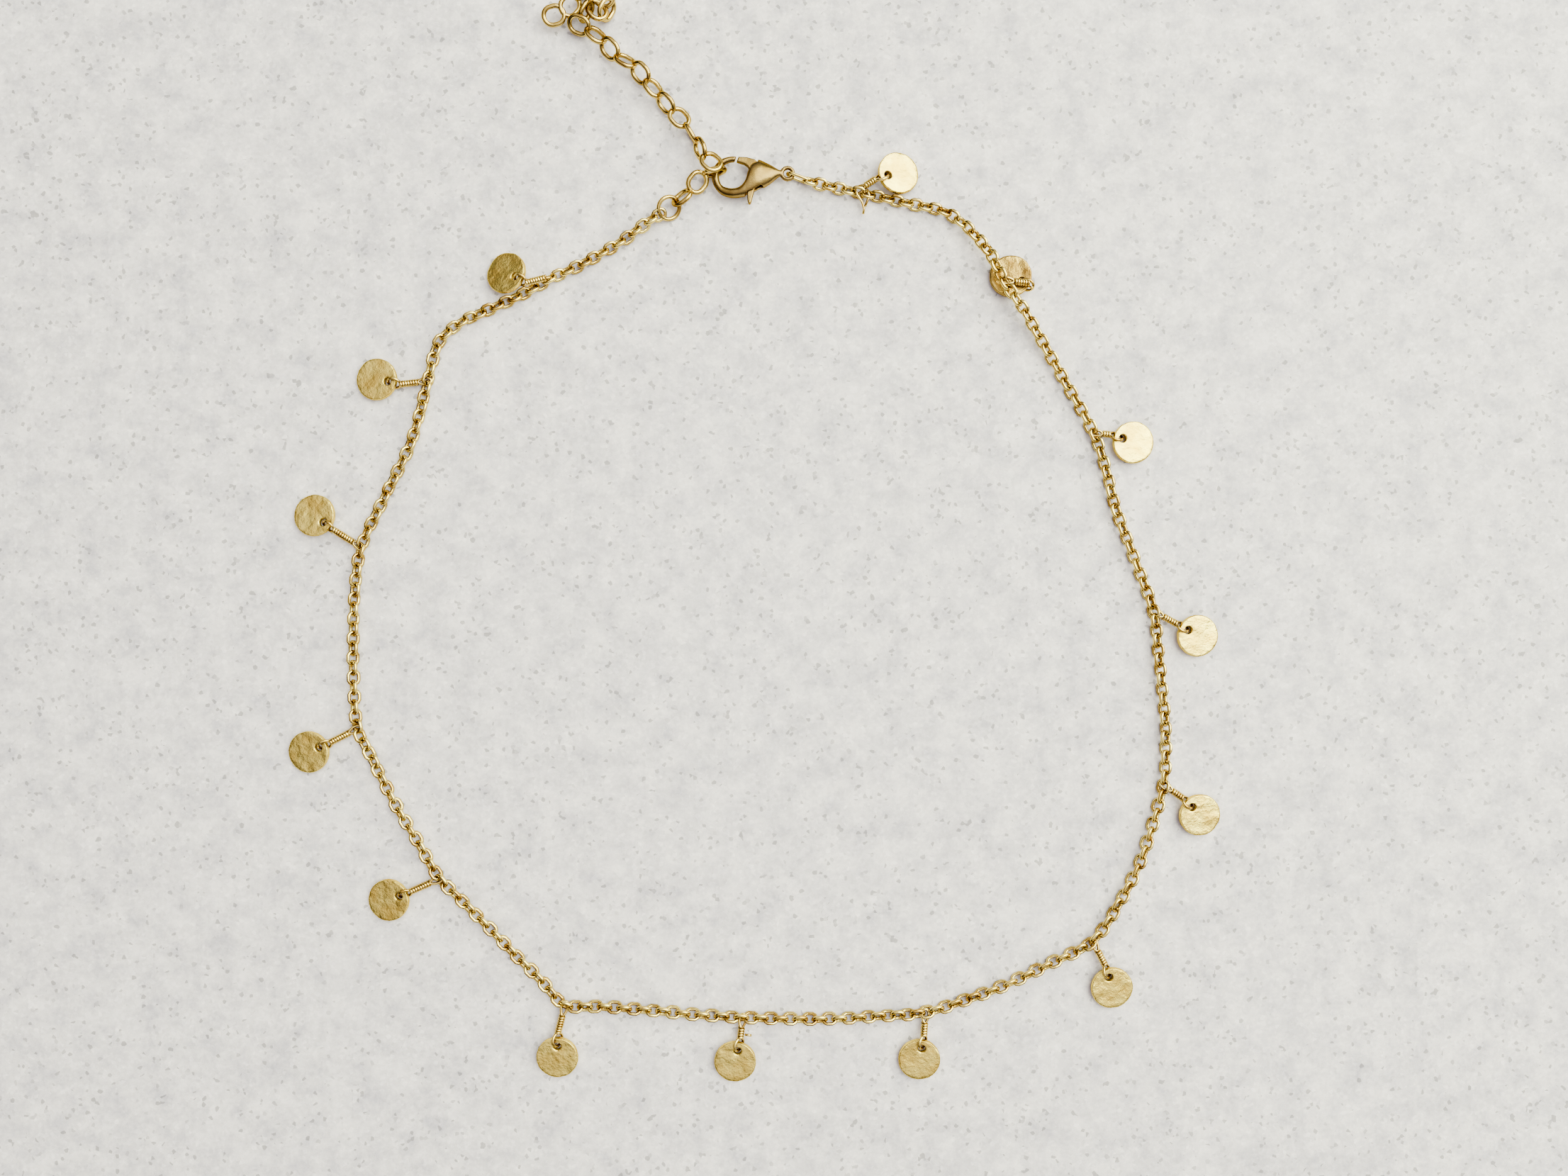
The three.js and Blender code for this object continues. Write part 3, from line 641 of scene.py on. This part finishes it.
def disc_rows():
    """A disc's section: shares of the way from its hole to its rim, each with a height."""
    half = DISC_THICKNESS / 2
    face_from, face_span, face_steps = 0.06, 0.86, 9
    rows = [(0.0, half - HOLE_BEVEL), (0.03, half - HOLE_BEVEL / 4)]
    rows += [(face_from + face_span * i / face_steps, half) for i in range(face_steps + 1)]
    for i in range(1, 5):
        turn = math.radians(90 * i / 4)
        out = DISC_RADIUS - DISC_BEVEL + DISC_BEVEL * math.sin(turn)
        rows.append(((out - HOLE_RADIUS) / (DISC_RADIUS - HOLE_RADIUS),
                     half - DISC_BEVEL + DISC_BEVEL * math.cos(turn)))
    return rows + [(share, -z) for share, z in reversed(rows)]


def round_order(verts):
    """A ring's verts in order of their bearing from the middle."""
    return sorted(verts, key=lambda vert: math.atan2(vert.co.y, vert.co.x))


def disc_rings(bm, count):
    """Rings of verts that start at the hole and close on it again, still without a shape."""
    made = bmesh.ops.create_circle(bm, cap_ends=False, radius=HOLE_RADIUS,
                                   segments=DISC_SEGMENTS)
    first = edges = ring_edges(made["verts"])
    rings = [round_order(made["verts"])]
    for _ in range(count - 1):
        verts, edges = next_ring(bm, edges)
        rings.append(round_order(verts))
    bmesh.ops.bridge_loops(bm, edges=first + edges)
    return rings


def beaten_place(spoke, share, z, offset):
    """A point of the disc's surface, with its rim uneven and its faces hammered."""
    radius = HOLE_RADIUS + (DISC_RADIUS - HOLE_RADIUS) * share
    place = spoke * radius + Vector((HOLE_OFFSET * (1 - share), 0, 0))
    rim = (RIM_WAVES[1] * noise.noise(spoke * RIM_WAVES[0] + offset)
           + RIM_NICKS[1] * noise.noise(spoke * RIM_NICKS[0] + offset))
    place -= spoke * max(RIM_WORN + RIM_UNEVEN * rim, RIM_LEAST_WORN) * share
    dent = noise.noise(place * BROAD_DENTS[0] + offset)
    ripple = noise.noise(place * RIPPLES[0] + offset * 2)
    blow = noise.noise(place * RIM_BLOWS[0] + offset * 3) * share ** 4
    sunk = FACE_SUNK + BROAD_DENTS[1] * dent + RIPPLES[1] * ripple + RIM_BLOWS[1] * blow
    away = 1 if z > 0 else -1
    place.z = z - away * max(sunk, 0.0)
    return place


def disc_piece(name, centre, bearing, tilt, seed):
    """A hammered disc: rings that grow from the hole to the rim, over it and back."""
    bm = bmesh.new()
    rows = disc_rows()
    offset = Vector((seed * 17.3, seed * 5.1, seed * 2.7))
    for ring, (share, z) in zip(disc_rings(bm, len(rows)), rows):
        for i, vert in enumerate(ring):
            turn = -math.pi + 2 * math.pi * i / DISC_SEGMENTS
            spoke = Vector((math.cos(turn), math.sin(turn), 0))
            vert.co = beaten_place(spoke, share, z, offset)
    bmesh.ops.recalc_face_normals(bm, faces=bm.faces)
    turned = (Matrix.Translation(centre) @ Matrix.Rotation(math.radians(bearing), 4, "Z")
              @ Matrix.Rotation(-math.radians(tilt), 4, "Y"))
    bmesh.ops.transform(bm, matrix=turned, verts=bm.verts)
    metal = darker_disc_gold if name in DARKER_DISCS else disc_gold
    finish_piece(f"hammered_disc_{name}", bm, metal, [f"disc_{name}"])


def disc_rise(tilt):
    """The height at which a tilted disc's middle lies when its low side rests."""
    sine = math.sin(math.radians(tilt))
    cosine = math.cos(math.radians(tilt))
    face = (DISC_RADIUS - DISC_BEVEL) * sine + DISC_THICKNESS / 2 * cosine
    edge = DISC_RADIUS * sine + (DISC_THICKNESS / 2 - DISC_BEVEL) * cosine
    return max(face, edge)


# Wire-wrapped links


def drop_loop(frame_in, length, width, narrow, count=22):
    """A loop long along its frame's X, narrower where it leaves the neck."""
    points = []
    for i in range(count):
        turn = 2 * math.pi * (i + 0.5) / count
        along = math.cos(turn)
        squeeze = 1 - narrow * (1 - along) / 2
        points.append(frame_in @ Vector((along * length / 2,
                                         math.sin(turn) * width / 2 * squeeze, 0)))
    return points


def coil_points(start, direction, turns, per_turn=12):
    """The wraps of the neck, laid side by side, with the wire's end tucked in."""
    placed = along_frame(start, direction)
    radius = (NECK_DIAMETER - WIRE_DRAWN) / 2
    points = []
    for i in range(turns * per_turn + 1):
        turn = 2 * math.pi * i / per_turn
        points.append(placed @ Vector((COIL_PITCH * (i / per_turn), radius * math.cos(turn),
                                       radius * math.sin(turn))))
    return points


def hung_over(neck_start, chain_point, turns):
    """A neck that ends above the chain, with a round loop that stands round it."""
    neck_end = chain_point + UP * (TUBE_RADIUS + NECK_DIAMETER / 2 + PLAY)
    direction = (neck_end - neck_start).normalized()
    turns = max(turns, round((neck_end - neck_start).length / COIL_PITCH))
    flat = Vector((direction.x, direction.y, 0)).normalized()
    deep = chain_point.z - TUBE_RADIUS + WIRE + PLAY + UPPER_LOOP_WIDTH / 2
    middle = Vector((chain_point.x, chain_point.y, deep))
    return direction, turns, (along_frame(middle, flat, 90), UPPER_LOOP_WIDTH,
                              UPPER_LOOP_WIDTH, 0.0)


def hooked_on(neck_start, chain_point, turns):
    """A neck that points at the chain, with a long loop that reaches past its middle."""
    direction = (chain_point - neck_start).normalized()
    reach = (chain_point - neck_start).length + HOOKED_BEYOND
    spare = reach - turns * COIL_PITCH - UPPER_LOOP_LENGTH
    turns += max(0, round(spare / COIL_PITCH))
    loop_start = neck_start + direction * turns * COIL_PITCH
    length = (chain_point - loop_start).length + HOOKED_BEYOND
    upper = along_frame(loop_start + direction * length / 2, direction)
    return direction, turns, (upper, length, UPPER_LOOP_DRAWN, UPPER_LOOP_NARROW)


def wrapped_link(row):
    """A drop's wire: two loops, the coiled neck and its cut ends; gives the disc's centre."""
    name, x, y, bearing, tilt, half, point, turns, lies = row
    level = heading(bearing)
    centre = Vector((x, y, disc_rise(tilt)))
    rim_point = centre + heading(bearing, tilt) * (HOLE_OFFSET + LOWER_LOOP_RADIUS)
    rows = ROUTE_LEFT if half == "left" else ROUTE_RIGHT
    chain_x, chain_y, lift = rows[point]
    chain_point = Vector((chain_x, chain_y, TUBE_RADIUS + lift))
    if lies == "back":
        neck_start = rim_point + UP * (LOWER_LOOP_RADIUS + WIRE / 2)
    else:
        neck_start = rim_point + level * LOWER_LOOP_RADIUS
    held_by = hung_over if lies == "over" else hooked_on
    direction, turns, upper = held_by(neck_start, chain_point, turns)
    size = 2 * LOWER_LOOP_RADIUS
    lower = (along_frame(rim_point, level, LOWER_LOOP_ROLL), size, size, 0.0)
    bm = bmesh.new()
    for loop in (lower, upper):
        sweep(bm, stations_along(drop_loop(*loop), closed=True), WIRE_DRAWN / 2, WIRE_SIDES,
              closed=True)
    core = [neck_start + direction * step for step in (0, turns * COIL_PITCH)]
    for path in (coil_points(neck_start, direction, turns), core):
        sweep(bm, stations_along(path), WIRE_DRAWN / 2, WIRE_SIDES)
    for end in WIRE_ENDS.get(name, []):
        sweep(bm, stations_along([Vector(point) for point in end]), WIRE / 2, WIRE_SIDES)
    bmesh.ops.recalc_face_normals(bm, faces=bm.faces)
    finish_piece(f"wrapped_wire_{name}", bm, wire_gold, [f"drop_link_{name}"])
    return centre


for seed, row in enumerate(DROPS, 1):
    centre = wrapped_link(row)
    disc_piece(row[0], centre, row[3], row[4], seed)


# Extender chain, jump ring and clasp link


def linked_piece(name, node, metal, link, places):
    """Copies of one link joined into a piece."""
    bm = bmesh.new()
    for place in places:
        add_link(bm, link, place)
    finish_piece(name, bm, metal, [node])


extender_link = link_mesh("extender_link", EXTENDER_LENGTH - WORN, EXTENDER_WIDTH - WORN,
                          EXTENDER_DRAWN, segments=28, sides=10)
linked_piece("extender_links", "extender_chain", extender_gold, extender_link,
             [along_frame(*pose) for pose in extender_poses])

ring_link = link_mesh("ring_link", RING_DIAMETER, RING_DIAMETER, RING_WIRE, segments=36,
                      sides=12)
linked_piece("jump_ring_wire", "jump_ring", extender_gold, ring_link,
             [along_frame(ring_centre, heading(RING_HEADING), RING_ROLL)])

end_link = link_mesh("end_link", CLASP_LINK_LENGTH, CLASP_LINK_WIDTH, CLASP_LINK_WIRE,
                     segments=28, sides=10)
linked_piece("clasp_link_wire", "clasp_link", chain_gold, end_link,
             [along_frame(clasp_link_middle, clasp_link_along, 90)])


# Clasp


def cast_piece(name, node, voxel, rounds, material, body, form=None):
    """The solid's form with its flats and edges worn round, as a casting has them."""
    bm = bmesh.new()
    bm.from_mesh(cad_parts[node].data)
    bmesh.ops.remove_doubles(bm, verts=bm.verts, dist=1e-7)
    bmesh.ops.scale(bm, vec=(1 / MM,) * 3, verts=bm.verts)
    rough = bpy.data.meshes.new(name)
    bm.to_mesh(rough)
    bm.free()
    blank = bpy.data.objects.new(name, rough)
    bpy.context.scene.collection.objects.link(blank)
    remesh = blank.modifiers.new("even", "REMESH")
    remesh.mode = "VOXEL"
    remesh.voxel_size = voxel
    smooth = blank.modifiers.new("worn", "SMOOTH")
    smooth.factor = 0.5
    smooth.iterations = rounds
    bpy.context.view_layer.update()
    graph = bpy.context.evaluated_depsgraph_get()
    mesh = bpy.data.meshes.new_from_object(blank.evaluated_get(graph))
    bpy.data.objects.remove(blank)
    if form:
        even_out(mesh, form)
    mesh.transform(Matrix.Scale(MM, 4))
    mesh.name = name
    place_mesh(name, mesh, material, [node], body)


def smooth_sections(rows, per_span):
    """Sections on smooth curves through the clasp's sections."""
    ends = [rows[0]] + rows + [rows[-1]]
    made = []
    for a, b, c, d in zip(ends, ends[1:], ends[2:], ends[3:]):
        for step in range(per_span):
            t = step / per_span
            made.append([
                q + t / 2 * (r - p) + t * t * (p - 2.5 * q + 2 * r - s / 2)
                + t ** 3 * (1.5 * (q - r) + (s - p) / 2)
                for p, q, r, s in zip(a, b, c, d)])
    made.append(list(rows[-1]))
    return made


def clasp_form():
    """The clasp's smooth outside, from the neck round to the hook's tip, in place."""
    stations = []
    for back_x, back_y, front_x, front_y, depth in smooth_sections(CLASP_SECTIONS, per_span=4):
        back = on_clasp((back_x, back_y))
        front = on_clasp((front_x, front_y))
        span = (back - front) / 2
        deep = UP * depth * CLASP_THICKNESS / 2
        stations.append(basis(span, deep, span.cross(deep).normalized(), (back + front) / 2))
    bm = bmesh.new()
    sweep(bm, stations, radius=1.0, sides=48)
    bmesh.ops.recalc_face_normals(bm, faces=bm.faces)
    bmesh.ops.transform(bm, matrix=Matrix.Translation(shift / MM), verts=bm.verts)
    form = BVHTree.FromBMesh(bm)
    bm.free()
    return form


def even_out(mesh, form):
    """Brings the flats of a casting's outside to its smooth form, then softens the whole."""
    bm = bmesh.new()
    bm.from_mesh(mesh)
    bm.normal_update()
    for vert in bm.verts:
        place, normal, _, _ = form.find_nearest(vert.co, FLAT_DEPTH)
        if place is not None and vert.normal.dot(normal) > SAME_FACING:
            vert.co = place
    for _ in range(SOFTENING_ROUNDS):
        bmesh.ops.smooth_vert(bm, verts=bm.verts, factor=0.5, use_axis_x=True,
                              use_axis_y=True, use_axis_z=True)
    bm.to_mesh(mesh)
    bm.free()


cast_piece("clasp_casting", "clasp_body", voxel=0.07, rounds=6, material=cast_gold,
           body="necklace", form=clasp_form())
cast_piece("clasp_gate", "clasp_lever", voxel=0.05, rounds=7, material=cast_gold, body="lever")


# Tabletop, camera and light


def lay_tabletop():
    """The floor: a flat sheet of stone under the whole."""
    bm = bmesh.new()
    bmesh.ops.create_grid(bm, x_segments=1, y_segments=1, size=FLOOR_HALF)
    mesh = bpy.data.meshes.new("tabletop")
    bm.to_mesh(mesh)
    bm.free()
    mesh.materials.append(marble())
    tabletop = bpy.data.objects.new("tabletop", mesh)
    bpy.context.scene.collection.objects.link(tabletop)


def hang_camera():
    """Looks straight down, from where the picture's width is seen at the chain's level."""
    half_angle = math.radians(LENS_ANGLE) / 2
    height = SEEN_WIDTH / 2 / math.tan(half_angle) + SEEN_LEVEL
    camera = bpy.data.cameras.new("overhead")
    camera.sensor_fit = "HORIZONTAL"
    camera.angle = math.radians(LENS_ANGLE)
    camera.clip_start = 0.005
    overhead = bpy.data.objects.new("overhead", camera)
    overhead.location = TO_TABLE @ Vector((*CAMERA_PLACE, height))
    bpy.context.scene.collection.objects.link(overhead)
    bpy.context.scene.camera = overhead


def softbox(name, direction, distance, size, power, tint):
    """A square lamp that faces the table's middle."""
    light = bpy.data.lights.new(name, "AREA")
    light.shape = "RECTANGLE"
    light.size = size
    light.size_y = size
    light.energy = power
    light.color = tint
    lamp = bpy.data.objects.new(name, light)
    lamp.location = direction.normalized() * distance
    lamp.rotation_euler = direction.to_track_quat("Z", "Y").to_euler()
    bpy.context.scene.collection.objects.link(lamp)


def light_room():
    """Soft light all round, brightest on the lamp's side and dim near the horizon."""
    world = bpy.data.worlds.new("room")
    bpy.context.scene.world = world
    world.use_nodes = True
    tree = world.node_tree
    background = tree.nodes["Background"]
    background.inputs["Strength"].default_value = 2.25
    where = tree.nodes.new("ShaderNodeTexCoord")

    toward = tree.nodes.new("ShaderNodeVectorMath")
    toward.operation = "DOT_PRODUCT"
    toward.inputs[1].default_value = BRIGHT_SIDE.normalized()
    tree.links.new(where.outputs["Generated"], toward.inputs[0])
    sky = tone_ramp(tree, toward.outputs["Value"], [
        (0.05, (0.10, 0.082, 0.078)), (0.5, (0.66, 0.575, 0.54)), (0.95, (1.0, 0.98, 0.86))])

    height = tree.nodes.new("ShaderNodeSeparateXYZ")
    tree.links.new(where.outputs["Generated"], height.inputs["Vector"])
    horizon = tree.nodes.new("ShaderNodeMapRange")
    horizon.interpolation_type = "SMOOTHSTEP"
    horizon.inputs["From Min"].default_value = 0.25
    horizon.inputs["From Max"].default_value = 0.85
    horizon.inputs["To Min"].default_value = 0.14
    tree.links.new(height.outputs["Z"], horizon.inputs["Value"])

    dimmed = tree.nodes.new("ShaderNodeVectorMath")
    dimmed.operation = "SCALE"
    tree.links.new(sky, dimmed.inputs["Vector"])
    tree.links.new(horizon.outputs["Result"], dimmed.inputs["Scale"])
    tree.links.new(dimmed.outputs["Vector"], background.inputs["Color"])


lay_tabletop()
hang_camera()
softbox("window", LAMP_SIDE, LAMP_AWAY, LAMP_WIDTH, power=25.0, tint=(0.96, 1.0, 0.70))
light_room()
